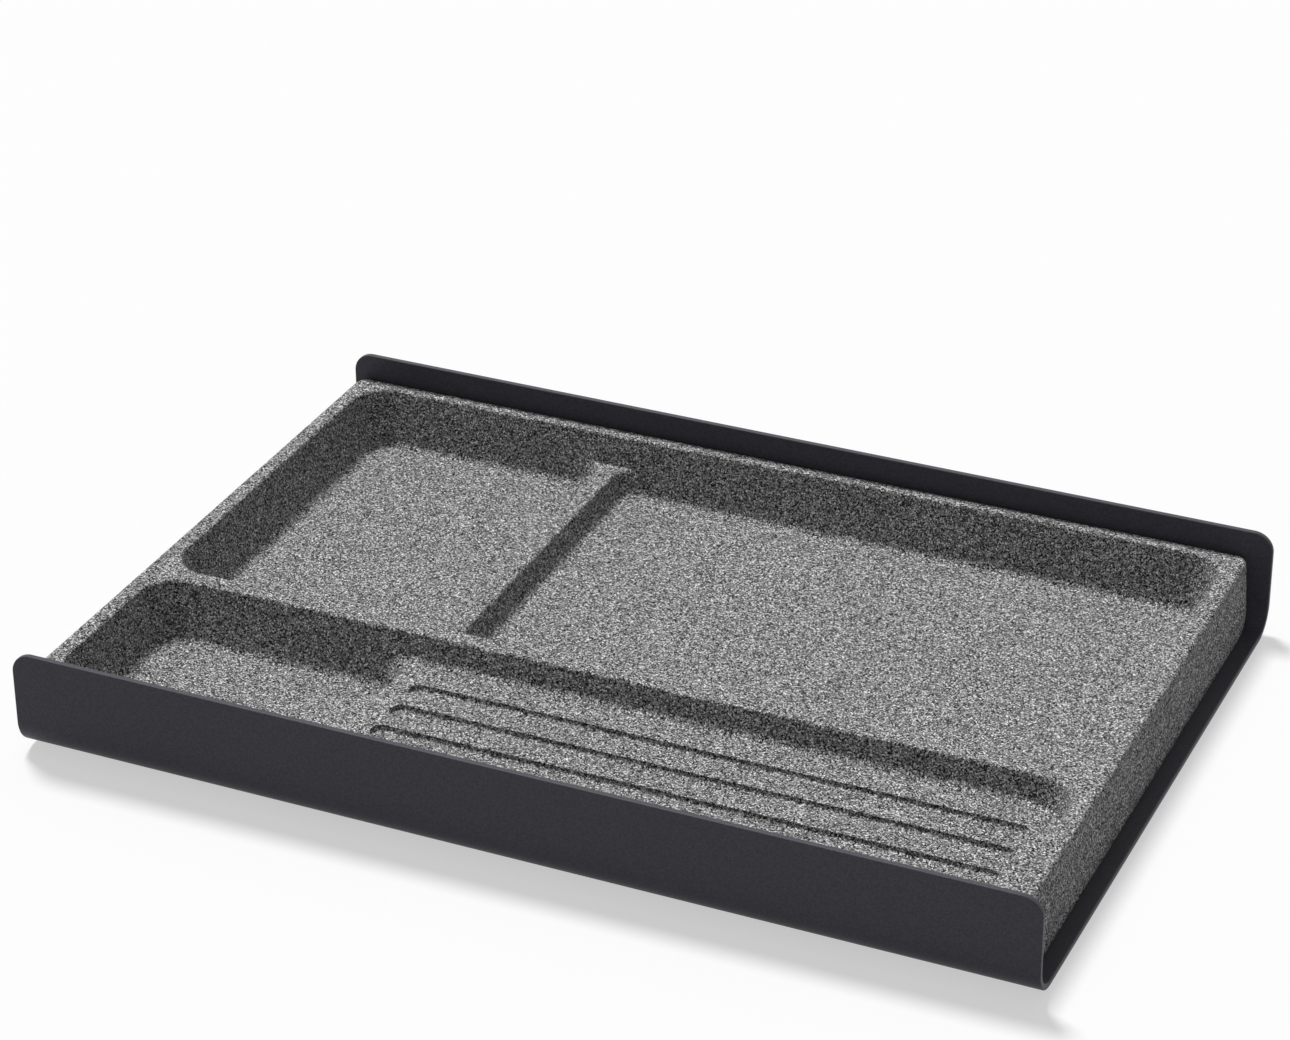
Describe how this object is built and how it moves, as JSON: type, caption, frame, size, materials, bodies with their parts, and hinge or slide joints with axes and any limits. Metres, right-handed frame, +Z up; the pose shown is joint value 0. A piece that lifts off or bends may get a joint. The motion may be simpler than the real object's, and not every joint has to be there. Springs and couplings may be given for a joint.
{
  "type": "desk tray",
  "caption": "Folded sheet-metal desk tray with a lift-out moulded foam insert that has pockets, a low divider and a grooved pencil shelf.",
  "frame": {"origin": "on the desk, under the middle of the shell", "axes": "+X along the tray to its right end, +Y from the user's side to the back, +Z up"},
  "size_m": [0.3384, 0.2302, 0.0368],
  "materials": {
    "coated_metal": "satin charcoal powder coat",
    "speckled_foam": "matt closed-cell foam, dark grey with black and pale specks",
    "foot_rubber": "matt black rubber"
  },
  "bodies": {
    "shell": {"folded_shell": "coated_metal", "foot_front_left": "foot_rubber", "foot_front_right": "foot_rubber", "foot_back_left": "foot_rubber", "foot_back_right": "foot_rubber"},
    "insert": {"foam_insert": "speckled_foam"}
  },
  "joints": [
    {"name": "insert_lift", "type": "slide", "parent": "shell", "child": "insert", "axis": [0, 0, 1], "range_m": [0, 0.05]}
  ]
}
